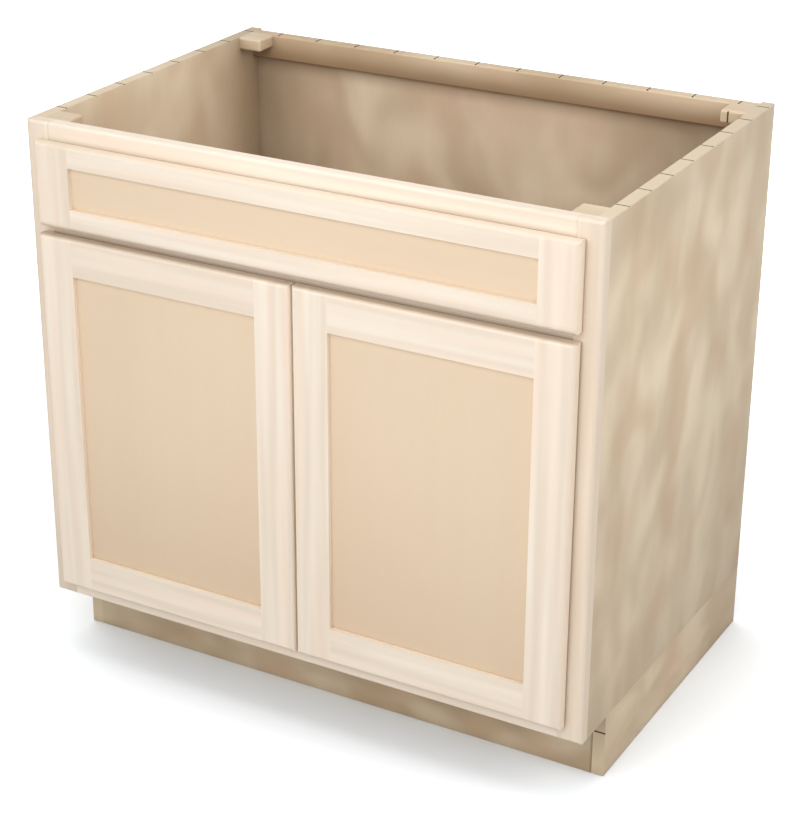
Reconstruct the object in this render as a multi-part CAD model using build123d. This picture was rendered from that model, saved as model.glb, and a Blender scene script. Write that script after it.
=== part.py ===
from build123d import *
import math
import os

# Face-frame sink base cabinet: a plywood box on a plinth, with a solid wood
# face frame, a fixed false front and two hinged doors. X runs across the
# front, Y from the doors to the wall and Z up. The origin is on the floor, at
# the middle of the width and of the whole depth. All sizes are millimetres.

# Box and plinth
cabinet_width = 914.4
cabinet_height = 876.3
cabinet_depth = 606.4
side_thickness = 19.05
toe_height = 101.6
toe_setback = 86.4
plinth_thickness = 19.05
bottom_thickness = 19.05
dado_depth = 6.35
back_thickness = 6.35
back_groove_depth = 6.35
scribe_recess = 9.5
hanging_rail_height = 40.0
hanging_rail_thickness = 19.05
hanging_rail_lip = 12.0
corner_block_width = 40.0
corner_block_height = 20.0
block_edge_radius = 4.0
rail_edge_radius = 3.0

# Joint lines across the boards' bare edges
line_pitch = 72.6
line_width = 1.4
line_depth = 0.8
rear_line_start = 69.2

# Face frame
frame_thickness = 19.05
frame_stile_width = 38.1
top_rail_height = 38.1
middle_rail_height = 38.1
bottom_rail_height = 38.1
false_opening_height = 101.6
frame_edge_radius = 5.0

# Doors and false front
front_overlay = 12.7
front_thickness = 18.0
door_gap = 1.6
meeting_gap = 3.0
front_edge_radius = 6.0
back_edge_radius = 3.5
door_member_width = 58.0
false_rail_height = 32.0
panel_thickness = 6.35
panel_setback = 6.35
tongue_length = 9.5
panel_float = 1.0

# Door bumpers
bumper_radius = 4.0
bumper_inset = 20.0

# Concealed hinges
hinge_end_distance = 89.0
hinge_angle = 105.0
pivot_inset = 7.0
pivot_depth = 8.0
pin_radius = 1.0
pin_running_gap = 0.05
knuckle_radius = 2.0
arm_thickness = 1.6
arm_height = 10.0
arm_clearance = 0.4
cup_radius = 17.5
cup_depth = 12.5
cup_wall = 0.6
cup_edge_distance = 3.0
cup_bore_gap = 0.1
cheek_thickness = 1.5
cheek_gap = 0.3
cheek_reach = 3.0
cheek_cover = 1.2
flange_thickness = 1.2
flange_inset = 13.0
flange_width = 26.0
flange_height = 58.0
flange_corner_radius = 5.0
cup_screw_inset = 30.0
cup_screw_spacing = 45.0
plate_thickness = 2.0
plate_height = 42.0
plate_margin = 1.0
plate_screw_spacing = 28.0

# Screws: head radius, head height, shank radius, length under the head
hinge_screw = (3.4, 1.9, 1.7, 12.0)
pocket_screw = (4.2, 2.4, 1.9, 30.0)
front_screw = (4.4, 2.6, 2.0, 28.0)
back_screw = (3.2, 1.8, 1.5, 12.0)
screw_tip_length = 3.0
screw_tip_share = 0.25
recess_width = 0.9
recess_share = 0.6
pocket_angle = 15.0
pocket_radius = 4.75
pocket_step = 14.0
pocket_spacing = 19.0
front_screw_columns = 3
front_screw_margin = 60.0
back_screw_columns = 5
back_screw_margin = 40.0
back_screw_inset = 9.0

# How far a cutter reaches past the wall that it opens
cutter_reach = 3.0

# Places that follow from the sizes
half_width = cabinet_width / 2
inner_half = half_width - side_thickness
frame_front = (door_gap + front_thickness - cabinet_depth) / 2
frame_back = frame_front + frame_thickness
frame_middle = frame_front + frame_thickness / 2
wall_edge = frame_front + cabinet_depth
back_rear = wall_edge - scribe_recess
back_front = back_rear - back_thickness
hanging_rail_front = back_rear - hanging_rail_thickness
toe_front = frame_front + toe_setback
plinth_rear_front = back_rear - plinth_thickness
bottom_top = toe_height + bottom_rail_height
bottom_under = bottom_top - bottom_thickness
hanging_rail_under = cabinet_height - hanging_rail_height
back_top = cabinet_height - hanging_rail_lip
block_under = cabinet_height - corner_block_height
opening_half = half_width - frame_stile_width
top_rail_under = cabinet_height - top_rail_height
middle_rail_top = top_rail_under - false_opening_height
middle_rail_under = middle_rail_top - middle_rail_height
bottom_rail_top = toe_height + bottom_rail_height
front_half = opening_half + front_overlay
door_low = bottom_rail_top - front_overlay
door_high = middle_rail_under + front_overlay
false_low = middle_rail_top - front_overlay
false_high = top_rail_under + front_overlay
door_back = frame_front - door_gap
pivot_x = front_half - pivot_inset
pivot_y = door_back - pivot_depth
hinge_heights = (door_low + hinge_end_distance, door_high - hinge_end_distance)
cup_centre = pivot_inset - cup_edge_distance - cup_radius
mouth_reach = pivot_depth + flange_thickness


def block(x, y, z):
    """A board that fills the given low and high x, y and z."""
    corner = Pos(x[0], y[0], z[0])
    size = (x[1] - x[0], y[1] - y[0], z[1] - z[0])
    return corner * Box(*size, align=(Align.MIN, Align.MIN, Align.MIN))


def mirrored(shape):
    """The left-hand copy of a right-hand piece."""
    return mirror(shape, about=Plane.YZ)


def group(shapes):
    """Like pieces that share one node, each still a solid of its own."""
    solids = [solid for shape in shapes for solid in shape.solids()]
    return Compound(children=solids)


def spread(low, high, count):
    """Evenly spaced places from low to high."""
    return [low + (high - low) * i / (count - 1) for i in range(count)]


# Screws


rising = (Align.CENTER, Align.CENTER, Align.MIN)
sinking = (Align.CENTER, Align.CENTER, Align.MAX)


def screw(size):
    """A pan-head screw along Z, with its head's seat at zero and its tip down."""
    head_radius, head_height, shank_radius, length = size
    head = Cylinder(head_radius, head_height, align=rising)
    head = fillet(head.edges().sort_by(Axis.Z)[-1], head_height * recess_share)
    shank = Cylinder(shank_radius, length - screw_tip_length, align=sinking)
    tip = Cone(shank_radius * screw_tip_share, shank_radius, screw_tip_length, align=rising)
    recess = Pos(0, 0, head_height) * cross_recess(head_radius, head_height)
    return head + shank + Pos(0, 0, -length) * tip - recess


def cross_recess(head_radius, head_height):
    """The cross in a screw's head."""
    long = 2 * head_radius * recess_share
    depth = head_height * recess_share
    return Box(long, recess_width, depth, align=sinking) + Box(recess_width, long, depth, align=sinking)


def screw_hole(size):
    """The hole that a screw cuts under its head."""
    shank_radius, length = size[2:]
    return Cylinder(shank_radius, length, align=sinking)


def through_hole(size, wall):
    """A cutter along Z for a screw's hole through a thin wall, centred on one face."""
    return Cylinder(size[2], 2 * (wall + cutter_reach))


def seats(points, direction):
    """Planes at the screw seats, whose Z looks back out of the wood."""
    return [Plane(origin=point, z_dir=direction) for point in points]


def at_seats(shape, planes):
    """Copies of a shape, one on each seat."""
    return [plane.location * shape for plane in planes]


def with_holes(piece, tool, planes):
    """The piece with the tool cut out of it at each seat."""
    for cutter in at_seats(tool, planes):
        piece = piece - cutter
    return piece


# Box: sides, bottom, back, hanging rail and corner blocks


def joint_lines(start, end, across, axis):
    """Cutters for the fine joint lines along a board's top edge."""
    cutters = []
    place = start
    deep = (cabinet_height - line_depth, cabinet_height + line_depth)
    while place < end - line_width:
        along = (place - line_width / 2, place + line_width / 2)
        span = (across, along) if axis == "y" else (along, across)
        cutters.append(block(span[0], span[1], deep))
        place += line_pitch
    return cutters


def side_panel():
    """The right side, with the dado for the bottom and the groove for the back."""
    board = block((inner_half, half_width), (frame_back, wall_edge), (toe_height, cabinet_height))
    dado = (inner_half - dado_depth, inner_half + dado_depth)
    board -= block(dado, (frame_back, back_front), (bottom_under, bottom_top))
    groove = (inner_half - back_groove_depth, inner_half + back_groove_depth)
    board -= block(groove, (back_front, back_rear), (bottom_under, back_top))
    edge = (inner_half - cutter_reach, half_width + cutter_reach)
    for cutter in joint_lines(frame_front + line_pitch, wall_edge, edge, "y"):
        board -= cutter
    return board


def bottom_panel():
    """The bottom, housed in both sides, with the holes of the back's screws."""
    reach = inner_half + dado_depth
    board = block((-reach, reach), (frame_back, back_front), (bottom_under, bottom_top))
    return with_holes(board, screw_hole(back_screw), back_screw_seats())


def back_screw_seats():
    """Seats of the screws that hold the back to the hanging rail and the bottom."""
    columns = spread(back_screw_margin - inner_half, inner_half - back_screw_margin, back_screw_columns)
    rows = (bottom_under + back_screw_inset, back_top - back_screw_inset)
    return seats([(x, back_rear, z) for x in columns for z in rows], (0, 1, 0))


def back_panel():
    """The thin back, in its grooves in both sides."""
    reach = inner_half + back_groove_depth
    board = block((-reach, reach), (back_front, back_rear), (bottom_under, back_top))
    return with_holes(board, screw_hole(back_screw), back_screw_seats())


def hanging_rail():
    """The rail between the sides, rebated at the rear for the back panel."""
    x = (-inner_half, inner_half)
    rail = block(x, (hanging_rail_front, back_rear), (hanging_rail_under, cabinet_height))
    rail = fillet(rail.edges().filter_by(Axis.X).sort_by(Axis.Y)[:2], rail_edge_radius)
    rail -= block(x, (back_front, back_rear), (hanging_rail_under, back_top))
    edge = (hanging_rail_front - cutter_reach, back_rear + cutter_reach)
    for cutter in joint_lines(rear_line_start - half_width, inner_half, edge, "x"):
        rail -= cutter
    return with_holes(rail, screw_hole(back_screw), back_screw_seats())


def last_rear_line():
    """Where the last joint line of the hanging rail crosses it."""
    start = rear_line_start - half_width
    return start + line_pitch * int((inner_half - line_width - start) / line_pitch)


def corner_block(front):
    """A right-hand corner block, cut from an eased block twice as wide each way."""
    width = corner_block_width
    x = (inner_half - width, inner_half)
    z = (block_under, cabinet_height)
    if front:
        y = (frame_back, frame_back + width)
        wide_y = (y[0] - width, y[1])
    else:
        y = (hanging_rail_front - width, hanging_rail_front)
        wide_y = (y[0], y[1] + width)
    wide = block((x[0], x[1] + width), wide_y, z)
    return fillet(wide.edges(), block_edge_radius) & block(x, y, z)


def rear_right_block():
    """The rear right block, whose front face has a joint line in step with the rail's."""
    line = (last_rear_line() - line_width / 2, last_rear_line() + line_width / 2)
    face = hanging_rail_front - corner_block_width
    depth = (face - line_depth, face + line_depth)
    return corner_block(False) - block(line, depth, (block_under, cabinet_height))


# Plinth


def plinth_side():
    """The right plinth side, plain."""
    return block((half_width - plinth_thickness, half_width), (toe_front, wall_edge), (0, toe_height))


def right_plinth_side():
    """The same board with the joint line across its front edge."""
    edge = (half_width - plinth_thickness, half_width)
    depth = (toe_front - line_depth, toe_front + line_depth)
    height = (line_pitch - line_width / 2, line_pitch + line_width / 2)
    return plinth_side() - block(edge, depth, height)


def plinth_cross_board(front):
    """A board across the plinth, up to the bottom panel that it carries."""
    reach = half_width - plinth_thickness
    low = block((-reach, reach), (front, front + plinth_thickness), (0, toe_height))
    high = (front, front + plinth_thickness)
    return low + block((-inner_half, inner_half), high, (toe_height, bottom_under))


def plinth_bearer():
    """The bearer under the middle of the bottom."""
    half = plinth_thickness / 2
    y = (toe_front + plinth_thickness, plinth_rear_front)
    return block((-half, half), y, (0, bottom_under))


# Face frame


def rounded_frame():
    """The face frame's outline as one board with its outer front edges eased."""
    board = block((-half_width, half_width), (frame_front, frame_back), (toe_height, cabinet_height))
    front = board.faces().sort_by(Axis.Y)[0]
    return fillet(front.edges(), frame_edge_radius)


def rail_levels():
    """Low and high z of the face frame's three rails."""
    return {
        "top": (top_rail_under, cabinet_height),
        "middle": (middle_rail_under, middle_rail_top),
        "bottom": (toe_height, bottom_rail_top),
    }


def pocket_seats():
    """Seats of the pocket screws at the right-hand ends of the rails."""
    lean = math.radians(pocket_angle)
    back_out = (-math.cos(lean), math.sin(lean), 0)
    x = opening_half + pocket_step * back_out[0]
    y = frame_middle + pocket_step * back_out[1]
    middles = [(low + high) / 2 for low, high in rail_levels().values()]
    heights = [middle + side * pocket_spacing / 2 for middle in middles for side in (-1, 1)]
    return seats([(x, y, z) for z in heights], back_out)


def pocket():
    """The slanted pocket above a seat: its length takes it out of the rail's back."""
    length = frame_thickness / math.sin(math.radians(pocket_angle))
    return Cylinder(pocket_radius, length, align=rising)


def plate_screw_seats():
    """Seats of the screws that hold the right-hand hinge arms to the frame."""
    x = opening_half - plate_thickness
    heights = [z + side * plate_screw_spacing / 2 for z in hinge_heights for side in (-1, 1)]
    return seats([(x, frame_middle, z) for z in heights], (-1, 0, 0))


def frame_stile():
    """The right stile, with the holes of the pocket screws and hinge screws."""
    zone = block((opening_half, half_width), (frame_front, frame_back), (toe_height, cabinet_height))
    stile = rounded_frame() & zone
    stile = with_holes(stile, screw_hole(pocket_screw), pocket_seats())
    return with_holes(stile, screw_hole(hinge_screw), plate_screw_seats())


def frame_rail(name):
    """One rail, with pockets at both ends and the holes of the false front's screws."""
    zone = block((-opening_half, opening_half), (frame_front, frame_back), rail_levels()[name])
    rail = rounded_frame() & zone
    for tool in (pocket(), screw_hole(pocket_screw)):
        for cutter in at_seats(tool, pocket_seats()):
            rail = rail - cutter - mirrored(cutter)
    return with_holes(rail, screw_hole(front_screw), front_screw_seats())


# Fronts: a frame of stiles and rails round a flat panel, rounded outside


def front_blank(x, y, z):
    """A front's outline as one board, with its front and back edges rounded."""
    board = block(x, y, z)
    faces = board.faces().sort_by(Axis.Y)
    board = fillet(faces[0].edges(), front_edge_radius)
    return fillet(board.faces().sort_by(Axis.Y)[-1].edges(), back_edge_radius)


def panelled_front(x, z, back, rail_height):
    """Two stiles, two rails and the panel of one front, as named boards."""
    y = (back - front_thickness, back)
    slot = (y[0] + panel_setback, y[0] + panel_setback + panel_thickness)
    inner_x = (x[0] + door_member_width, x[1] - door_member_width)
    inner_z = (z[0] + rail_height, z[1] - rail_height)
    groove_x = (inner_x[0] - tongue_length, inner_x[1] + tongue_length)
    groove_z = (inner_z[0] - tongue_length, inner_z[1] + tongue_length)
    blank = front_blank(x, y, z)
    grooved = block(groove_x, slot, z)
    panel_room = block(inner_x, slot, groove_z)
    rail_zone = block(inner_x, y, z) + grooved
    float_x = (groove_x[0] + panel_float, groove_x[1] - panel_float)
    float_z = (groove_z[0] + panel_float, groove_z[1] - panel_float)
    return {
        "left_stile": (blank & block((x[0], inner_x[0]), y, z)) - grooved,
        "right_stile": (blank & block((inner_x[1], x[1]), y, z)) - grooved,
        "bottom_rail": (blank & rail_zone & block(x, y, (z[0], inner_z[0]))) - panel_room
        - block(groove_x, slot, (groove_z[0], inner_z[0])),
        "top_rail": (blank & rail_zone & block(x, y, (inner_z[1], z[1]))) - panel_room
        - block(groove_x, slot, (inner_z[1], groove_z[1])),
        "panel": block(float_x, slot, float_z),
    }


def front_screw_seats():
    """Seats of the screws that go through the frame into the false front."""
    edge = opening_half - front_screw_margin
    columns = spread(-edge, edge, front_screw_columns)
    rows = ((top_rail_under + false_high) / 2, (middle_rail_top + false_low) / 2)
    return seats([(x, frame_back, z) for x in columns for z in rows], (0, 1, 0))


def false_front():
    """The false front's five boards, screwed on from behind."""
    x = (-front_half, front_half)
    boards = panelled_front(x, (false_low, false_high), frame_front, false_rail_height)
    for rail in ("top_rail", "bottom_rail"):
        boards[rail] = with_holes(boards[rail], screw_hole(front_screw), front_screw_seats())
    return boards


def cup_screw_seats():
    """Seats of the screws that hold the right-hand hinge cups to the door."""
    x = front_half - cup_screw_inset
    y = door_back + flange_thickness
    heights = [z + side * cup_screw_spacing / 2 for z in hinge_heights for side in (-1, 1)]
    return seats([(x, y, z) for z in heights], (0, 1, 0))


def cup_bore(height):
    """The bore in the door's back that a hinge cup drops into."""
    bore = Cylinder(cup_radius + cup_bore_gap, 2 * (cup_depth + cup_bore_gap), rotation=(90, 0, 0))
    return Pos(pivot_x + cup_centre, door_back, height) * bore


def right_door():
    """The right door's five boards, with the cup bores in the hinge stile."""
    x = (meeting_gap / 2, front_half)
    boards = panelled_front(x, (door_low, door_high), door_back, door_member_width)
    stile = boards["right_stile"]
    for height in hinge_heights:
        stile = stile - cup_bore(height)
    boards["right_stile"] = with_holes(stile, screw_hole(hinge_screw), cup_screw_seats())
    return boards


def bumpers():
    """Two round pads on the right door's back, by its free edge."""
    x = meeting_gap / 2 + bumper_inset
    heights = ((door_low + bottom_rail_top) / 2, (middle_rail_under + door_high) / 2)
    pad = Cylinder(bumper_radius, door_gap, rotation=(90, 0, 0))
    y = (door_back + frame_front) / 2
    return [Pos(x, y, z) * pad for z in heights]


# Hinges, drawn in plan round the pivot: x out to the door's edge, y to the back


def at_pivot(shape):
    """Both right-hand copies of a hinge piece that is drawn round its pivot."""
    return [Pos(pivot_x, pivot_y, z) * shape for z in hinge_heights]


def hinge_cup():
    """The pressed cup with its flange and the two cheeks that carry the pin."""
    shell = cup_drum(cup_radius, pivot_depth, cup_depth)
    hollow = cup_drum(cup_radius - cup_wall, mouth_reach, cup_depth - cup_wall + flange_thickness)
    return cup_cheeks(shell) + (shell + cup_flange() - hollow)


def cup_drum(radius, mouth, depth):
    """A round solid about the cup's axis, from its mouth down into the door."""
    return Pos(cup_centre, mouth - depth / 2, 0) * Cylinder(radius, depth, rotation=(90, 0, 0))


def cup_flange():
    """The flat plate on the door's back, with a screw hole above and below."""
    low = pivot_inset - flange_inset - flange_width
    high = pivot_inset - flange_inset
    half = flange_height / 2
    plate = block((low, high), (pivot_depth, mouth_reach), (-half, half))
    plate = fillet(plate.edges().filter_by(Axis.Y), flange_corner_radius)
    hole = Rotation(90, 0, 0) * through_hole(hinge_screw, flange_thickness)
    for side in (-1, 1):
        plate -= Pos(pivot_inset - cup_screw_inset, mouth_reach, side * cup_screw_spacing / 2) * hole
    return plate


def cup_cheeks(shell):
    """Two lugs inside the cup, one above and one below the arm, bored for the pin."""
    inner = arm_height / 2 + cheek_gap
    cheeks = []
    for side in (-1, 1):
        z = sorted((side * inner, side * (inner + cheek_thickness)))
        low = pivot_depth - cup_depth
        lug = block((-cheek_reach, pivot_inset), (low, pin_radius + cheek_cover), z)
        cheeks.append(lug & shell)
    bore = Cylinder(pin_radius, 2 * (inner + cheek_thickness + cutter_reach))
    return cheeks[0] - bore + (cheeks[1] - bore)


def hinge_pin():
    """The pin, as long as the cheeks stand apart outside."""
    half = arm_height / 2 + cheek_gap + cheek_thickness
    return Cylinder(pin_radius, 2 * half)


def arm_line():
    """The arm's bent line in plan with the door shut: knuckle, cup, frame."""
    reach = pivot_depth + arm_clearance + arm_thickness / 2
    fold = math.radians(90 + hinge_angle)
    rise = math.radians(hinge_angle)
    bend = (reach * math.cos(fold), reach * math.sin(fold))
    level = pivot_depth + door_gap + frame_thickness / 2
    climb = (level - bend[1]) / math.sin(rise)
    corner = (bend[0] + climb * math.cos(rise), level)
    plate = (pivot_inset - front_overlay - plate_thickness / 2, level)
    return [(0, 0), bend, corner, plate]


def strip(start, end):
    """One straight leg of the bent arm, with round ends."""
    length = math.dist(start, end)
    lean = math.degrees(math.atan2(end[1] - start[1], end[0] - start[0]))
    middle = ((start[0] + end[0]) / 2, (start[1] + end[1]) / 2)
    leg = SlotCenterToCenter(length, arm_thickness, rotation=lean)
    return extrude(Pos(middle[0], middle[1]) * leg, arm_height / 2, both=True)


def hinge_arm():
    """The cranked arm from the knuckle on the pin to its plate on the frame."""
    points = arm_line()
    arm = Cylinder(knuckle_radius, arm_height)
    for start, end in zip(points, points[1:]):
        arm += strip(start, end)
    arm -= Cylinder(pin_radius + pin_running_gap, arm_height + 2 * cutter_reach)
    return arm + frame_plate()


def frame_plate():
    """The arm's plate on the edge of the frame stile."""
    edge = pivot_inset - front_overlay
    near = pivot_depth + door_gap + plate_margin
    far = pivot_depth + door_gap + frame_thickness - plate_margin
    half = plate_height / 2
    plate = block((edge - plate_thickness, edge), (near, far), (-half, half))
    hole = Rotation(0, 90, 0) * through_hole(hinge_screw, plate_thickness)
    for side in (-1, 1):
        plate -= Pos(edge, (near + far) / 2, side * plate_screw_spacing / 2) * hole
    return plate


# The nodes


def box_nodes():
    """Sides, bottom, back, hanging rail, corner blocks and the back's screws."""
    side = side_panel()
    return {
        "right_side_panel": side,
        "left_side_panel": mirrored(side),
        "bottom_panel": bottom_panel(),
        "back_panel": back_panel(),
        "hanging_rail": hanging_rail(),
        "front_right_block": corner_block(True),
        "front_left_block": mirrored(corner_block(True)),
        "rear_right_block": rear_right_block(),
        "rear_left_block": mirrored(corner_block(False)),
        "back_panel_screws": group(at_seats(screw(back_screw), back_screw_seats())),
    }


def plinth_nodes():
    """The boards of the plinth."""
    return {
        "right_plinth_side": right_plinth_side(),
        "left_plinth_side": mirrored(plinth_side()),
        "toe_board": plinth_cross_board(toe_front),
        "plinth_rear_rail": plinth_cross_board(plinth_rear_front),
        "plinth_bearer": plinth_bearer(),
    }


def frame_nodes():
    """Stiles, rails and pocket screws of the face frame."""
    stile = frame_stile()
    screws = at_seats(screw(pocket_screw), pocket_seats())
    nodes = {
        "frame_right_stile": stile,
        "frame_left_stile": mirrored(stile),
        "pocket_screws": group(screws + [mirrored(s) for s in screws]),
    }
    for name in rail_levels():
        nodes[f"frame_{name}_rail"] = frame_rail(name)
    return nodes


def front_nodes():
    """The boards of the false front and the doors, and the false front's screws."""
    nodes = {f"false_front_{name}": board for name, board in false_front().items()}
    nodes["false_front_screws"] = group(at_seats(screw(front_screw), front_screw_seats()))
    door_names = {
        "left_stile": "meeting_stile",
        "right_stile": "hinge_stile",
        "top_rail": "top_rail",
        "bottom_rail": "bottom_rail",
        "panel": "panel",
    }
    for name, board in right_door().items():
        nodes[f"right_door_{door_names[name]}"] = board
        nodes[f"left_door_{door_names[name]}"] = mirrored(board)
    return nodes


def hardware_nodes():
    """Hinges with their screws and pins, and the door bumpers."""
    right_hand = {
        "door_bumpers": bumpers(),
        "cup_screws": at_seats(screw(hinge_screw), cup_screw_seats()),
        "plate_screws": at_seats(screw(hinge_screw), plate_screw_seats()),
        "hinge_pins": at_pivot(hinge_pin()),
    }
    nodes = {}
    for name, shapes in right_hand.items():
        nodes[f"right_{name}"] = group(shapes)
        nodes[f"left_{name}"] = group([mirrored(shape) for shape in shapes])
    for level, cup, arm in zip(("lower", "upper"), at_pivot(hinge_cup()), at_pivot(hinge_arm())):
        for kind, piece in (("cup", cup), ("arm", arm)):
            nodes[f"right_{level}_hinge_{kind}"] = piece
            nodes[f"left_{level}_hinge_{kind}"] = mirrored(piece)
    return nodes


os.makedirs("parts", exist_ok=True)
for make_nodes in (box_nodes, plinth_nodes, frame_nodes, front_nodes, hardware_nodes):
    for node, shape in make_nodes().items():
        export_step(shape, f"parts/{node}.step")
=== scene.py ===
import math

import bpy
from mathutils import Matrix, Vector


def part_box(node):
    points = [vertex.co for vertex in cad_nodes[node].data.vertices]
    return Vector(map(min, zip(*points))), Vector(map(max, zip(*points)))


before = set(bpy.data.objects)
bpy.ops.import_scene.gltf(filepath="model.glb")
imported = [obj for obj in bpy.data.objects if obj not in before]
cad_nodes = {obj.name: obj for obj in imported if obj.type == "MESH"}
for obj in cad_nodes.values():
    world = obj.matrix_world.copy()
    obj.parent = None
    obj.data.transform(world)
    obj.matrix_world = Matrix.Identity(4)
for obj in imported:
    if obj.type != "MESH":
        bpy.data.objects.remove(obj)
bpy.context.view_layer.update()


# The camera stands high in front of the cabinet's right-hand half and looks
# down on it. Its place, aim and lens were solved from the cabinet's corners.

camera_place = Vector((1.46927, -2.65797, 1.77776))
camera_turn = math.radians(30.169)
camera_tilt = math.radians(24.723)
camera_roll = math.radians(-0.186)

camera_data = bpy.data.cameras.new("camera")
camera_data.sensor_width = 36.0
camera_data.lens = 93.474
camera_data.shift_x = 0.05235
camera_data.shift_y = 0.0096
camera_data.dof.use_dof = False
camera = bpy.data.objects.new("camera", camera_data)
bpy.context.scene.collection.objects.link(camera)
bpy.context.scene.camera = camera

aim = Vector((
    -math.sin(camera_turn) * math.cos(camera_tilt),
    math.cos(camera_turn) * math.cos(camera_tilt),
    -math.sin(camera_tilt),
))
level_right = aim.cross(Vector((0, 0, 1))).normalized()
level_up = level_right.cross(aim)
camera_right = level_right * math.cos(camera_roll) + level_up * math.sin(camera_roll)
camera_up = level_up * math.cos(camera_roll) - level_right * math.sin(camera_roll)
camera_axes = Matrix((camera_right, camera_up, -aim)).transposed().to_4x4()
camera.matrix_world = Matrix.Translation(camera_place) @ camera_axes


# The studio: a wide pale floor under a soft dome that is stronger low down and
# on the left, with large soft lamps overhead, in front and on the right. Floor
# and dome look white, and the floor keeps the cabinet's shadow.


def add_shader_node(tree, kind, inputs=None, **settings):
    """Adds a shader node, sets its fields, and fills or links its inputs."""
    node = tree.nodes.new(kind)
    for field, value in settings.items():
        setattr(node, field, value)
    for socket, value in (inputs or {}).items():
        if isinstance(value, bpy.types.NodeSocket):
            tree.links.new(value, node.inputs[socket])
        else:
            node.inputs[socket].default_value = value
    return node


def add_maths(tree, operation, *values):
    """Adds a Math node and gives its result."""
    inputs = dict(enumerate(values))
    return add_shader_node(tree, "ShaderNodeMath", inputs, operation=operation).outputs[0]


def add_range(tree, value, low, high, to_low=0.0, to_high=1.0):
    """Stretches a value between two limits, with soft ends."""
    return add_shader_node(tree, "ShaderNodeMapRange", {
        "Value": value, "From Min": low, "From Max": high, "To Min": to_low, "To Max": to_high,
    }, interpolation_type="SMOOTHSTEP").outputs[0]


def add_colour_mix(tree, amount, first, second):
    """Mixes two colours by a mask. A Mix node's colours are its inputs 6 and 7 and output 2."""
    mix = add_shader_node(tree, "ShaderNodeMix", {0: amount, 6: first, 7: second}, data_type="RGBA")
    return mix.outputs[2]


def add_place(tree):
    """The place on the object itself, in metres."""
    return add_shader_node(tree, "ShaderNodeTexCoord").outputs["Object"]


def seen_directly(tree):
    """1 for rays that show the studio itself: camera, mirror and glass rays."""
    path = add_shader_node(tree, "ShaderNodeLightPath")
    seen = add_maths(tree, "MAXIMUM", path.outputs["Is Camera Ray"], path.outputs["Is Glossy Ray"])
    return add_maths(tree, "MAXIMUM", seen, path.outputs["Is Transmission Ray"])


studio_white = (1.0, 1.0, 1.0, 1.0)
dome_low_strength = 0.76
dome_left_strength = 0.73

world = bpy.data.worlds.new("studio_dome")
world.use_nodes = True
dome_tree = world.node_tree
dome_tree.nodes.clear()
dome_place = add_shader_node(dome_tree, "ShaderNodeTexCoord").outputs["Generated"]
dome_axes = add_shader_node(dome_tree, "ShaderNodeSeparateXYZ", {0: dome_place}).outputs
low_part = add_maths(dome_tree, "SUBTRACT", 1.0, add_maths(dome_tree, "MAXIMUM", dome_axes["Z"], 0.0))
left_part = add_maths(dome_tree, "MAXIMUM", add_maths(dome_tree, "MULTIPLY", dome_axes["X"], -1.0), 0.0)
dome_strength = add_maths(
    dome_tree, "ADD",
    add_maths(dome_tree, "MULTIPLY", low_part, dome_low_strength),
    add_maths(dome_tree, "MULTIPLY", left_part, dome_left_strength),
)
dome_light = add_shader_node(dome_tree, "ShaderNodeBackground", {0: studio_white, 1: dome_strength})
dome_white = add_shader_node(dome_tree, "ShaderNodeBackground", {0: studio_white, 1: 1.0})
dome_mix = add_shader_node(dome_tree, "ShaderNodeMixShader", {
    0: seen_directly(dome_tree), 1: dome_light.outputs[0], 2: dome_white.outputs[0],
})
add_shader_node(dome_tree, "ShaderNodeOutputWorld", {"Surface": dome_mix.outputs[0]})
bpy.context.scene.world = world

# Where each lamp hangs, its width and its power.
lamp_target = Vector((0.0, -0.2, 0.45))
studio_lamps = {
    "front_high_lamp": ((0.2, -1.9, 1.9), 1.4, 16.8),
    "front_low_lamp": ((0.3, -2.6, 1.0), 1.6, 11.1),
    "right_high_lamp": ((2.2, -0.1, 1.9), 1.4, 13.2),
    "right_low_lamp": ((2.8, -0.3, 1.0), 1.6, 14.0),
    "top_lamp": ((0.0, -0.2, 2.9), 1.6, 13.0),
}
for lamp_name, (lamp_place, lamp_size, lamp_power) in studio_lamps.items():
    lamp_data = bpy.data.lights.new(lamp_name, "AREA")
    lamp_data.shape = "DISK"
    lamp_data.size = lamp_size
    lamp_data.energy = lamp_power
    lamp = bpy.data.objects.new(lamp_name, lamp_data)
    bpy.context.scene.collection.objects.link(lamp)
    lamp.location = lamp_place
    lamp.rotation_euler = (lamp_target - Vector(lamp_place)).to_track_quat("-Z", "Y").to_euler()

# The floor glows where nothing stands near it, and more further out, so that it
# is white round the cabinet's shadow. Only what looks at the floor sees the glow.
half_floor = 30.0
floor_drop = 0.0004
floor_seen_colour = (0.89, 0.93, 0.965, 1.0)
floor_bounce_colour = (0.45, 0.45, 0.45, 1.0)
floor_glow = (0.06, 0.6)
floor_open_range = (0.2, 1.05)
floor_open_reach = 0.45
floor_far_glow = 0.6
floor_far_range = (0.8, 2.4)

floor_mesh = bpy.data.meshes.new("floor")
floor_signs = ((-1, -1), (1, -1), (1, 1), (-1, 1))
floor_corners = [(x * half_floor, y * half_floor, -floor_drop) for x, y in floor_signs]
floor_mesh.from_pydata(floor_corners, [], [(0, 1, 2, 3)])
floor = bpy.data.objects.new("floor", floor_mesh)
bpy.context.scene.collection.objects.link(floor)

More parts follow.
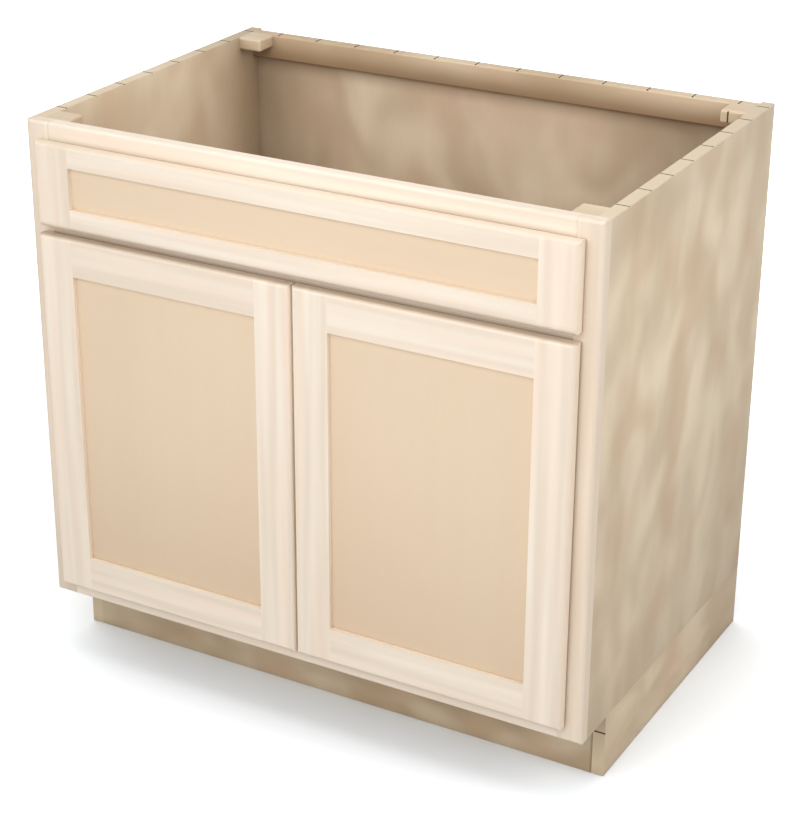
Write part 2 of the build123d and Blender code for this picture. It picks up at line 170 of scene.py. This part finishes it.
floor_paint = bpy.data.materials.new("floor_paint")
floor_paint.use_nodes = True
floor_tree = floor_paint.node_tree
floor_tree.nodes.clear()
floor_seen = seen_directly(floor_tree)
floor_colour = add_colour_mix(floor_tree, floor_seen, floor_bounce_colour, floor_seen_colour)
floor_open = add_shader_node(floor_tree, "ShaderNodeAmbientOcclusion", {"Distance": floor_open_reach})
open_glow = add_range(floor_tree, floor_open.outputs["AO"], *floor_open_range, *floor_glow)
floor_place = add_place(floor_tree)
floor_away = add_shader_node(floor_tree, "ShaderNodeVectorMath", {0: floor_place}, operation="LENGTH")
far_glow = add_range(floor_tree, floor_away.outputs["Value"], *floor_far_range, 0.0, floor_far_glow)
glow = add_maths(floor_tree, "ADD", open_glow, far_glow)
seen_glow = add_maths(floor_tree, "MULTIPLY", floor_seen, glow)
floor_diffuse = add_shader_node(floor_tree, "ShaderNodeBsdfDiffuse", {"Color": floor_colour})
floor_emission = add_shader_node(floor_tree, "ShaderNodeEmission", {
    "Color": studio_white, "Strength": seen_glow,
})
floor_sum = add_shader_node(floor_tree, "ShaderNodeAddShader", {
    0: floor_diffuse.outputs[0], 1: floor_emission.outputs[0],
})
add_shader_node(floor_tree, "ShaderNodeOutputMaterial", {"Surface": floor_sum.outputs[0]})
floor_mesh.materials.append(floor_paint)

bpy.context.scene.view_settings.view_transform = "Standard"


# Plinth: two side boards, the toe board between them, the rear rail and a
# bearer, all sawn from birch plywood and glued. The bare veneer is blotchy,
# with soft clouds of yellow, brown and grey.


def srgb(red, green, blue):
    """A colour given as 0 to 255 on screen, as the shaders want it."""
    def linear(value):
        value /= 255
        return value / 12.92 if value <= 0.04045 else ((value + 0.055) / 1.055) ** 2.4
    return (linear(red), linear(green), linear(blue), 1.0)


def add_effect_group(name, outputs, values, vectors=()):
    """A shader group with named sockets: its tree, and the sockets of its two end nodes."""
    group = bpy.data.node_groups.new(name, "ShaderNodeTree")
    for labels, in_out, kind in (
        (vectors, "INPUT", "NodeSocketVector"),
        (values, "INPUT", "NodeSocketFloat"),
        (outputs, "OUTPUT", "NodeSocketFloat"),
    ):
        for label in labels:
            group.interface.new_socket(label, in_out=in_out, socket_type=kind)
    start = group.nodes.new("NodeGroupInput")
    end = group.nodes.new("NodeGroupOutput")
    return group, start.outputs, end.inputs


def add_vector_maths(tree, operation, first, second):
    """Adds a Vector Math node and gives its result."""
    second_socket = "Scale" if operation == "SCALE" else 1
    result = "Value" if operation == "DOT_PRODUCT" else "Vector"
    inputs = {0: first, second_socket: second}
    return add_shader_node(tree, "ShaderNodeVectorMath", inputs, operation=operation).outputs[result]


def add_noise(tree, place, width, detail=2.0, roughness=0.5, distortion=0.0):
    """Soft noise whose clouds are about as wide as the given width."""
    noise = add_shader_node(tree, "ShaderNodeTexNoise", {
        "Vector": place, "Scale": add_maths(tree, "DIVIDE", 1.0, width),
        "Detail": detail, "Roughness": roughness, "Distortion": distortion,
    })
    return noise.outputs["Fac"]


# Masks for the figure of a board whose fibres run along Grain: wide bands, two
# sets of clouds, fine fibres, short flecks, and the sawn ends. Shift gives each
# board a figure of its own, and Slant leans the clouds against the fibres.
board_figure, figure_in, figure_out = add_effect_group(
    "board_figure",
    ("Bands", "Clouds", "Blush", "Fibres", "Flecks", "Ends"),
    ("Band Width", "Cloud Width", "Cloud Stretch", "Cloud Swirl"),
    ("Grain", "Shift", "Slant"),
)
board_coords = add_shader_node(board_figure, "ShaderNodeTexCoord").outputs
board_place = add_vector_maths(board_figure, "ADD", board_coords["Object"], figure_in["Shift"])
along_grain = add_vector_maths(board_figure, "DOT_PRODUCT", board_place, figure_in["Grain"])


def add_stretched_place(squeeze):
    """The place on the board, squeezed along the fibres so that noise runs with them."""
    spare = add_maths(board_figure, "MULTIPLY", along_grain, squeeze)
    spare_run = add_vector_maths(board_figure, "SCALE", figure_in["Grain"], spare)
    return add_vector_maths(board_figure, "SUBTRACT", board_place, spare_run)


fibre_squeeze = 0.97
fleck_squeeze = 0.90
fibre_width = 0.0012
fleck_width = 0.0016
blush_offset = (3.7, 5.1, 8.3)
fibre_place = add_stretched_place(fibre_squeeze)
fleck_place = add_stretched_place(fleck_squeeze)
cloud_squeeze = add_maths(board_figure, "SUBTRACT", 1.0, figure_in["Cloud Stretch"])
slant = add_vector_maths(board_figure, "SCALE", figure_in["Slant"], along_grain)
cloud_place = add_vector_maths(board_figure, "ADD", add_stretched_place(cloud_squeeze), slant)
blush_place = add_vector_maths(board_figure, "ADD", cloud_place, blush_offset)
facing_ends = add_vector_maths(board_figure, "DOT_PRODUCT", board_coords["Normal"], figure_in["Grain"])
soft_clouds = {"detail": 1.0, "roughness": 0.4, "distortion": figure_in["Cloud Swirl"]}
figure_values = {
    "Bands": add_noise(board_figure, fibre_place, figure_in["Band Width"], detail=1.5),
    "Clouds": add_noise(board_figure, cloud_place, figure_in["Cloud Width"], **soft_clouds),
    "Blush": add_noise(board_figure, blush_place, figure_in["Cloud Width"], **soft_clouds),
    "Fibres": add_noise(board_figure, fibre_place, fibre_width, detail=3.0, roughness=0.6),
    "Flecks": add_noise(board_figure, fleck_place, fleck_width),
    "Ends": add_maths(board_figure, "ABSOLUTE", facing_ends),
}
mask_ranges = {
    "Bands": (0.30, 0.70), "Clouds": (0.28, 0.72), "Blush": (0.42, 0.75),
    "Fibres": (0.25, 0.75), "Flecks": (0.62, 0.74), "Ends": (0.6, 0.8),
}
for label, value in figure_values.items():
    mask = add_range(board_figure, value, *mask_ranges[label])
    board_figure.links.new(mask, figure_out[label])


# The shade where a place is shut in by what stands within Reach of it: none when
# it is as open as Open, and Depth when it is as closed as Shut. A face that looks
# up gets only a share of it.
corner_shade, shade_in, shade_out = add_effect_group(
    "corner_shade", ("Shade",), ("Reach", "Open", "Shut", "Depth"),
)
shade_rays = 8
top_share = 0.3
top_range = (0.2, 0.9)
openness = add_shader_node(
    corner_shade, "ShaderNodeAmbientOcclusion", {"Distance": shade_in["Reach"]}, samples=shade_rays,
)
closed = add_range(corner_shade, openness.outputs["AO"], shade_in["Open"], shade_in["Shut"])
facing = add_shader_node(corner_shade, "ShaderNodeTexCoord").outputs["Normal"]
facing_up = add_shader_node(corner_shade, "ShaderNodeSeparateXYZ", {0: facing}).outputs["Z"]
spared = add_range(corner_shade, facing_up, *top_range, 1.0, top_share)
full_shade = add_maths(corner_shade, "MULTIPLY", closed, shade_in["Depth"])
corner_shade.links.new(add_maths(corner_shade, "MULTIPLY", full_shade, spared), shade_out["Shade"])


# The fine dark joint lines across a board's bare edge: every Pitch from Start
# along Place, where Level is near Edge. They darken the cuts and the wood beside them.
joint_lines, line_in, line_out = add_effect_group(
    "joint_lines", ("Line",), ("Place", "Start", "Pitch", "Level", "Edge"),
)
line_half_width = 0.0012
line_reach = 0.0009
from_start = add_maths(joint_lines, "SUBTRACT", line_in["Place"], line_in["Start"])
steps = add_maths(joint_lines, "DIVIDE", from_start, line_in["Pitch"])
off_step = add_maths(joint_lines, "SUBTRACT", steps, add_maths(joint_lines, "ROUND", steps))
off_line = add_maths(joint_lines, "MULTIPLY", add_maths(joint_lines, "ABSOLUTE", off_step), line_in["Pitch"])
from_edge = add_maths(joint_lines, "SUBTRACT", line_in["Level"], line_in["Edge"])
off_edge = add_maths(joint_lines, "ABSOLUTE", from_edge)
on_line = add_maths(joint_lines, "LESS_THAN", off_line, line_half_width)
near_edge = add_maths(joint_lines, "LESS_THAN", off_edge, line_reach)
joint_lines.links.new(add_maths(joint_lines, "MULTIPLY", on_line, near_edge), line_out["Line"])

# How the masks colour a board, one over the other: mask, its depth, its tone.
board_layers = (
    ("Clouds", "cloud_depth", "dark"), ("Bands", "band_depth", "dark"), ("Blush", "blush_depth", "blush"),
    ("Fibres", "fibre_depth", "fleck"), ("Flecks", "fleck_depth", "fleck"), ("Ends", "end_depth", "end"),
)
grain_axes = {"x": (1, 0, 0), "y": (0, 1, 0), "z": (0, 0, 1)}
no_slant = (0.0, 0.0, 0.0)

# How far one seed more shifts a board's figure. Far shifts would blur fine noise.
seed_steps = (0.131, 0.217, 0.077)
shade_tone = srgb(106, 86, 66)
line_tone = srgb(52, 38, 26)
wood_roughness = (0.5, 0.62)
wood_specular = 0.35
fibre_bump = {"Strength": 0.1, "Distance": 0.0002}


def make_board_finish(name, grain, seed, tones, figure, lines=None, painted_shading=()):
    """Bare wood. Each ramp of painted shade is an axis, where it starts, where it is full, its depth and
    tone.
    """
    finish = bpy.data.materials.new(name)
    finish.use_nodes = True
    tree = finish.node_tree
    shader = tree.nodes["Principled BSDF"]
    masks = add_shader_node(tree, "ShaderNodeGroup", {
        "Grain": grain_axes[grain], "Shift": [seed * step for step in seed_steps],
        "Slant": figure.get("slant", no_slant), "Band Width": figure["band"],
        "Cloud Width": figure["cloud"], "Cloud Stretch": figure["stretch"], "Cloud Swirl": figure["swirl"],
    }, node_tree=board_figure).outputs
    colour = tones["light"]
    for mask, depth, tone in board_layers:
        amount = add_maths(tree, "MULTIPLY", masks[mask], figure[depth])
        colour = add_colour_mix(tree, amount, colour, tones[tone])
    place = add_shader_node(tree, "ShaderNodeSeparateXYZ", {0: add_place(tree)}).outputs
    # Painted shade: ramps that darken the wood where shade falls, or paint it back to its own tone.
    for axis, start, full, depth, tone in painted_shading:
        colour = add_colour_mix(tree, add_range(tree, place[axis], start, full, 0.0, depth), colour, tone)
    if lines:
        on_axes = {"Place": place[lines["Place"]], "Level": place[lines["Level"]]}
        marks = add_shader_node(tree, "ShaderNodeGroup", {**lines, **on_axes}, node_tree=joint_lines)
        colour = add_colour_mix(tree, marks.outputs["Line"], colour, line_tone)
    for shade_inputs in figure["shades"]:
        shade = add_shader_node(tree, "ShaderNodeGroup", shade_inputs, node_tree=corner_shade)
        colour = add_colour_mix(tree, shade.outputs["Shade"], colour, shade_tone)
    tree.links.new(colour, shader.inputs["Base Color"])
    rough = add_range(tree, masks["Fibres"], 0.0, 1.0, *wood_roughness)
    tree.links.new(rough, shader.inputs["Roughness"])
    shader.inputs["Specular IOR Level"].default_value = wood_specular
    bump = add_shader_node(tree, "ShaderNodeBump", {"Height": masks["Fibres"], **fibre_bump})
    tree.links.new(bump.outputs[0], shader.inputs["Normal"])
    return finish


def paint_board(node, finish):
    """Gives a CAD board its finish."""
    mesh = cad_nodes[node].data
    mesh.materials.clear()
    mesh.materials.append(finish)


# The pale end tone of these plinth boards is a painted highlight on their sawn ends.
plinth_tones = {
    "light": srgb(216, 198, 168), "dark": srgb(176, 150, 118), "blush": srgb(202, 170, 138),
    "fleck": srgb(150, 124, 92), "end": srgb(245, 226, 196),
}
plinth_side_tones = {
    "light": srgb(226, 207, 178), "dark": srgb(192, 167, 135), "blush": srgb(212, 179, 149),
    "fleck": srgb(150, 124, 92), "end": srgb(224, 203, 172),
}
plinth_figure = {
    "band": 0.03, "cloud": 0.06, "stretch": 0.6, "swirl": 0.4, "band_depth": 0.1, "cloud_depth": 0.75,
    "blush_depth": 0.6, "fibre_depth": 0.05, "fleck_depth": 0.06, "end_depth": 0.9,
    "shades": ({"Reach": 0.03, "Open": 0.9, "Shut": 0.15, "Depth": 0.4},),
}

# The way that each board's fibres run, and its seed.
plinth_boards = {
    "right_plinth_side": ("y", 101), "left_plinth_side": ("y", 502), "toe_board": ("x", 203),
    "plinth_rear_rail": ("x", 4), "plinth_bearer": ("y", 5),
}

# One line crosses the right side's front edge: the next would be a metre on.
line_pitch = 0.0726
single_line_pitch = 1.0
plinth_side_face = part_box("right_plinth_side")[0][1]
plinth_lines = {"right_plinth_side": {
    "Place": "Z", "Start": line_pitch, "Pitch": single_line_pitch, "Level": "Y", "Edge": plinth_side_face,
}}
# Painted shade: the right plinth side darkens to the rear, and the toe board darkens at its right end, in the
# corner by the plinth side.
toe_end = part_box("toe_board")[1][0]
toe_end_width = 0.005
rear_part = ("Y", 0.05, 0.3)
plinth_painted_shading = {
    "right_plinth_side": ((*rear_part, 0.5, srgb(172, 148, 118)),),
    "toe_board": (("X", toe_end - toe_end_width, toe_end, 0.8, srgb(138, 112, 84)),),
}
for node, (grain, seed) in plinth_boards.items():
    tones = plinth_side_tones if node.endswith("plinth_side") else plinth_tones
    paint_board(node, make_board_finish(
        f"{node}_ply", grain, seed, tones, plinth_figure, plinth_lines.get(node), plinth_painted_shading.get(node, ()),
    ))


# Box: two plywood sides, the bottom housed in them and the thin back in its
# grooves. The veneer runs upright on the sides and the back, and fine dark
# joint lines cross the top edges of the sides.

right_side_tones = {
    "light": srgb(233, 216, 187), "dark": srgb(186, 161, 128), "blush": srgb(198, 163, 128),
    "fleck": srgb(158, 132, 100), "end": srgb(228, 209, 181),
}
# Painted light: the left side is a lighter copy of the right side's plywood, to lift its shaded inner face.
left_side_tones = {
    "light": srgb(250, 232, 204), "dark": srgb(218, 193, 158), "blush": srgb(228, 196, 164),
    "fleck": srgb(168, 142, 110), "end": srgb(226, 208, 180),
}
side_figure = {
    "band": 0.03, "cloud": 0.09, "stretch": 0.7, "swirl": 0.25, "band_depth": 0.05, "cloud_depth": 0.58,
    "blush_depth": 0.6, "fibre_depth": 0.05, "fleck_depth": 0.05, "end_depth": 0.6,
    "slant": (0.0, -0.1, 0.0),
    "shades": ({"Reach": 0.22, "Open": 0.97, "Shut": 0.3, "Depth": 0.5},),
}
side_boards = {"right": (711, right_side_tones), "left": (512, left_side_tones)}
frame_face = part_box("frame_left_stile")[0][1]
box_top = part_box("left_side_panel")[1][2]
side_lines = {"Place": "Y", "Start": frame_face, "Pitch": line_pitch, "Level": "Z", "Edge": box_top}

# Painted shade: the right side darkens to the rear, downwards and near its top, but not
# on its top edge, which is painted back to a pale tone. The left side, which shows its
# inner face, darkens to the rear with painted shade.
rear_half = ("Y", 0.0, 0.3)
lower_part = ("Z", 0.7, 0.1)
upper_part = ("Z", box_top - 0.11, box_top - 0.02)
top_edge = ("Z", box_top - 0.003, box_top)
side_painted_shading = {
    "right": (
        (*rear_half, 0.2, srgb(176, 155, 128)),
        (*lower_part, 0.3, srgb(160, 140, 116)),
        (*upper_part, 0.25, srgb(160, 138, 110)),
        (*top_edge, 0.5, srgb(236, 218, 190)),
    ),
    "left": ((*rear_part, 0.6, srgb(176, 152, 122)),),
}
for side, (seed, tones) in side_boards.items():
    paint_board(f"{side}_side_panel", make_board_finish(
        f"{side}_side_ply", "z", seed, tones, side_figure, side_lines, side_painted_shading[side],
    ))

back_tones = {
    "light": srgb(250, 235, 209), "dark": srgb(211, 189, 160), "blush": srgb(224, 197, 170),
    "fleck": srgb(158, 132, 100), "end": srgb(226, 208, 180),
}
back_figure = {
    **side_figure, "cloud": 0.11, "swirl": 0.6, "band_depth": 0.15, "cloud_depth": 0.85, "blush_depth": 0.75,
    "slant": (0.15, 0.0, 0.0),
    "shades": (
        {"Reach": 0.3, "Open": 0.97, "Shut": 0.3, "Depth": 0.6},
        {"Reach": 0.03, "Open": 0.8, "Shut": 0.12, "Depth": 0.7},
    ),
}
bottom_figure = {**back_figure, "slant": (0.0, 0.15, 0.0), "cloud_depth": 0.6, "blush_depth": 0.5}
paint_board("bottom_panel", make_board_finish(
    "bottom_ply", "x", seed=13, tones=back_tones, figure=bottom_figure,
))

# Painted shade: the back is darker under the hanging rail and towards both of its ends.
rail_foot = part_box("hanging_rail")[0][2]
back_left, back_right = (corner[0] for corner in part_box("back_panel"))
under_rail = ("Z", rail_foot - 0.03, rail_foot)
near_left = ("X", back_left + 0.22, back_left)
near_right = ("X", back_right - 0.31, back_right - 0.12)
back_painted_shading = (
    (*under_rail, 0.5, srgb(142, 116, 88)),
    (*near_left, 0.45, srgb(168, 144, 116)),
    (*near_right, 0.42, srgb(128, 98, 68)),
)
paint_board("back_panel", make_board_finish(
    "back_ply", "z", seed=814, tones=back_tones, figure=back_figure, painted_shading=back_painted_shading,
))


# Hanging rail and corner blocks: solid birch, glued between the sides and into
# the corners. The joint lines of the rail run on over the rear right block.

block_tones = {
    "light": srgb(230, 211, 182), "dark": srgb(204, 180, 148), "blush": srgb(218, 188, 158),
    "fleck": srgb(170, 144, 110), "end": srgb(214, 192, 160),
}
block_figure = {
    "band": 0.012, "cloud": 0.06, "stretch": 0.5, "swirl": 0.3, "band_depth": 0.2, "cloud_depth": 0.5,
    "blush_depth": 0.4, "fibre_depth": 0.06, "fleck_depth": 0.05, "end_depth": 0.4,
    "shades": ({"Reach": 0.08, "Open": 0.97, "Shut": 0.3, "Depth": 0.55},),
}
rail_figure = {**block_figure, "cloud": 0.07, "cloud_depth": 1.0, "blush_depth": 0.7}
first_rail_line = 0.0692
rail_line_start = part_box("left_side_panel")[0][0] + first_rail_line
rail_lines = {"Place": "X", "Start": rail_line_start, "Pitch": line_pitch, "Level": "Z", "Edge": box_top}
block_lines = {**rail_lines, "Level": "Y", "Edge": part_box("rear_right_block")[0][1]}
# Painted shade: the rail darkens from its top down to its foot.
rail_foot_shade = ("Z", box_top, rail_foot, 0.92, srgb(150, 122, 92))
paint_board("hanging_rail", make_board_finish(
    "rail_birch", "x", seed=721, tones=block_tones, figure=rail_figure, lines=rail_lines, painted_shading=(rail_foot_shade,),
))
block_seeds = {"rear_right": 25, "front_right": 622, "front_left": 223, "rear_left": 124}
for corner, seed in block_seeds.items():
    lines = block_lines if corner == "rear_right" else None
    paint_board(f"{corner}_block", make_board_finish(
        f"{corner}_birch", "x", seed, block_tones, block_figure, lines,
    ))


# Face frame: two stiles and three rails of solid maple, sanded and left bare,
# with the outer edges eased. The rails are held by pocket screws.

maple_tones = {
    "light": srgb(253, 240, 223), "dark": srgb(234, 218, 198), "blush": srgb(251, 228, 208),
    "fleck": srgb(206, 182, 150), "end": srgb(240, 220, 194),
}
stile_tones = {
    "light": srgb(247, 232, 214), "dark": srgb(228, 211, 190), "blush": srgb(244, 221, 200),
    "fleck": srgb(206, 182, 150), "end": srgb(240, 220, 194),
}
maple_figure = {
    "band": 0.03, "cloud": 0.016, "stretch": 0.04, "swirl": 0.0, "band_depth": 0.3, "cloud_depth": 0.8,
    "blush_depth": 0.6, "fibre_depth": 0.04, "fleck_depth": 0.03, "end_depth": 0.2,
    "shades": ({"Reach": 0.03, "Open": 0.9, "Shut": 0.15, "Depth": 0.32},),
}
top_rail_shade = {"Reach": 0.02, "Open": 0.85, "Shut": 0.12, "Depth": 0.65}
middle_rail_shade = {"Reach": 0.03, "Open": 0.8, "Shut": 0.12, "Depth": 0.45}
frame_figures = {
    "frame_top_rail": {**maple_figure, "shades": (top_rail_shade,)},
    "frame_middle_rail": {**maple_figure, "shades": (middle_rail_shade,)},
}
frame_boards = {
    "frame_left_stile": ("z", 431), "frame_right_stile": ("z", 732), "frame_top_rail": ("x", 833),
    "frame_middle_rail": ("x", 434), "frame_bottom_rail": ("x", 435),
}

# Painted shadow: the middle rail is dark in the gap over the doors, and painted back to its own
# tone where they hide it. Painted shade: the stiles darken to their outer edges, the left stile
# towards its foot, and the top rail at its two joints.
door_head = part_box("left_door_top_rail")[1][2]
over_doors = ("Z", door_head + 0.0073, door_head - 0.0027)
behind_doors = ("Z", door_head - 0.0037, door_head - 0.0067)
rail_start, rail_end = (corner[0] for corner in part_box("frame_top_rail"))
rail_end_width = 0.004
outer_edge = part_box("frame_right_stile")[1][0]
outer_edge_width = 0.008
stile_foot = ("Z", 0.40, 0.12)
edge_tone = srgb(218, 200, 178)
frame_painted_shading = {
    "frame_middle_rail": (
        (*over_doors, 0.5, srgb(112, 90, 66)),
        (*behind_doors, 0.9, srgb(246, 232, 213)),
    ),
    "frame_top_rail": (
        ("X", rail_start + rail_end_width, rail_start, 0.5, edge_tone),
        ("X", rail_end - rail_end_width, rail_end, 0.5, edge_tone),
    ),
    "frame_left_stile": (
        ("X", outer_edge_width - outer_edge, -outer_edge, 0.7, edge_tone),
        (*stile_foot, 0.5, srgb(214, 197, 178)),
    ),
    "frame_right_stile": (("X", outer_edge - outer_edge_width, outer_edge, 0.7, edge_tone),),
}
for node, (grain, seed) in frame_boards.items():
    tones = stile_tones if grain == "z" else maple_tones
    figure = frame_figures.get(node, maple_figure)
    paint_board(node, make_board_finish(
        f"{node}_maple", grain, seed, tones, figure, painted_shading=frame_painted_shading.get(node, ()),
    ))


# False front and doors: maple stiles and rails, tongued and grooved round a
# flat veneered panel that lies 6 mm back. The false front is screwed to the
# face frame, and the doors hang on their hinges.

front_boards = {
    "false_front_top_rail": ("x", 541), "false_front_bottom_rail": ("x", 942),
    "false_front_left_stile": ("z", 843), "false_front_right_stile": ("z", 948),
    "left_door_hinge_stile": ("z", 544), "left_door_meeting_stile": ("z", 645),
    "left_door_top_rail": ("x", 846), "left_door_bottom_rail": ("x", 947),
    "right_door_hinge_stile": ("z", 849), "right_door_meeting_stile": ("z", 550),
    "right_door_top_rail": ("x", 251), "right_door_bottom_rail": ("x", 452),
}
front_figure = {**maple_figure, "shades": ()}

# Painted shade: the rounded edges are a little darker: the false front's at its head and foot,
# the doors' at their heads, and at the right the false front's and the right door's.
front_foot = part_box("false_front_bottom_rail")[0][2]
front_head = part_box("false_front_top_rail")[1][2]
front_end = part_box("false_front_right_stile")[1][0]
soft_edge_tone = srgb(224, 206, 184)
foot_width = 0.012
head_width = 0.008
side_width = 0.009
door_head_width = 0.004
foot_edge = ("Z", front_foot + foot_width, front_foot, 0.6, soft_edge_tone)
head_edge = ("Z", front_head - head_width, front_head, 0.5, soft_edge_tone)
right_edge = ("X", front_end - side_width, front_end, 0.6, soft_edge_tone)
door_head_edge = ("Z", door_head - door_head_width, door_head, 0.7, srgb(196, 175, 150))
front_edges = {
    "false_front_top_rail": (head_edge,),
    "false_front_bottom_rail": (foot_edge,),
    "false_front_left_stile": (head_edge, foot_edge),
    "false_front_right_stile": (head_edge, foot_edge, right_edge),
    "left_door_hinge_stile": (door_head_edge,),
    "left_door_meeting_stile": (door_head_edge,),
    "left_door_top_rail": (door_head_edge,),
    "right_door_hinge_stile": (door_head_edge, right_edge),
    "right_door_meeting_stile": (door_head_edge,),
    "right_door_top_rail": (door_head_edge,),
}
for node, (grain, seed) in front_boards.items():
    paint_board(node, make_board_finish(
        f"{node}_maple", grain, seed, maple_tones, front_figure, painted_shading=front_edges.get(node, ()),
    ))

panel_tones = {
    "light": srgb(236, 214, 186), "dark": srgb(228, 203, 173), "blush": srgb(233, 205, 178),
    "fleck": srgb(196, 164, 126), "end": srgb(236, 214, 186),
}
panel_figure = {
    "band": 0.03, "cloud": 0.25, "stretch": 0.4, "swirl": 0.3, "band_depth": 0.15, "cloud_depth": 0.3,
    "blush_depth": 0.3, "fibre_depth": 0.03, "fleck_depth": 0.04, "end_depth": 0.0,
    "shades": ({"Reach": 0.01, "Open": 0.85, "Shut": 0.12, "Depth": 0.5},),
}
front_panels = {
    "false_front_panel": ("x", 961), "left_door_panel": ("z", 562), "right_door_panel": ("z", 763),
}
# Painted shade: the panels darken towards their feet.
low_darkening = ("Z", 0.50, 0.12, 0.5, srgb(210, 184, 155))
for node, (grain, seed) in front_panels.items():
    paint_board(node, make_board_finish(
        f"{node}_veneer", grain, seed, panel_tones, panel_figure, painted_shading=(low_darkening,),
    ))


# Hinges and screws: cups, arms and pins of nickel-plated pressed steel, and
# zinc-plated screws. The cups are let into the doors' backs and screwed there,
# and the arms' plates are screwed to the face frame.

# Fine cloudy streaks in a thin coat or in clear plastic, about Width wide.
coat_clouds, clouds_in, clouds_out = add_effect_group("coat_clouds", ("Clouds",), ("Width", "Detail"))
coat_noise = add_noise(coat_clouds, add_place(coat_clouds), clouds_in["Width"], clouds_in["Detail"])
coat_clouds.links.new(coat_noise, clouds_out["Clouds"])


def add_coat_clouds(tree, width, detail):
    """Places the cloudy streaks in a material and gives their mask."""
    inputs = {"Width": width, "Detail": detail}
    return add_shader_node(tree, "ShaderNodeGroup", inputs, node_tree=coat_clouds).outputs["Clouds"]


steel_streak_width = 0.004
steel_streak_detail = 3.0
steel_streak_range = (0.3, 0.7)
dull_share = 0.8
roughness_spread = 0.08


def make_plated_steel(name, colour, roughness):
    """Plated steel with faint cloudy streaks."""
    finish = bpy.data.materials.new(name)
    finish.use_nodes = True
    tree = finish.node_tree
    shader = tree.nodes["Principled BSDF"]
    shader.inputs["Metallic"].default_value = 1.0
    streaks = add_coat_clouds(tree, steel_streak_width, steel_streak_detail)
    dull = tuple(dull_share * part for part in colour[:3]) + (1.0,)
    tree.links.new(add_colour_mix(tree, streaks, colour, dull), shader.inputs["Base Color"])
    rough_range = (roughness - roughness_spread, roughness + roughness_spread)
    rough = add_range(tree, streaks, *steel_streak_range, *rough_range)
    tree.links.new(rough, shader.inputs["Roughness"])
    return finish


nickel = make_plated_steel("nickel_plating", srgb(200, 199, 196), roughness=0.3)
zinc = make_plated_steel("zinc_plating", srgb(190, 190, 186), roughness=0.38)
for node in cad_nodes:
    if "screws" in node:
        paint_board(node, zinc)
    elif node.endswith(("hinge_cup", "hinge_arm", "hinge_pins")):
        paint_board(node, nickel)


# Bumpers: clear soft plastic dots stuck to the back of each door, near its free
# edge, which land on the face frame when the door closes.

haze_width = 0.003
haze_detail = 2.0
bumper_plastic = bpy.data.materials.new("bumper_plastic")
bumper_plastic.use_nodes = True
bumper_tree = bumper_plastic.node_tree
bumper_shader = bumper_tree.nodes["Principled BSDF"]
bumper_haze = add_coat_clouds(bumper_tree, haze_width, haze_detail)
bumper_colour = add_colour_mix(bumper_tree, bumper_haze, srgb(214, 212, 206), srgb(196, 193, 185))
bumper_tree.links.new(bumper_colour, bumper_shader.inputs["Base Color"])
bumper_shader.inputs["Roughness"].default_value = 0.3
for side in ("left", "right"):
    paint_board(f"{side}_door_bumpers", bumper_plastic)
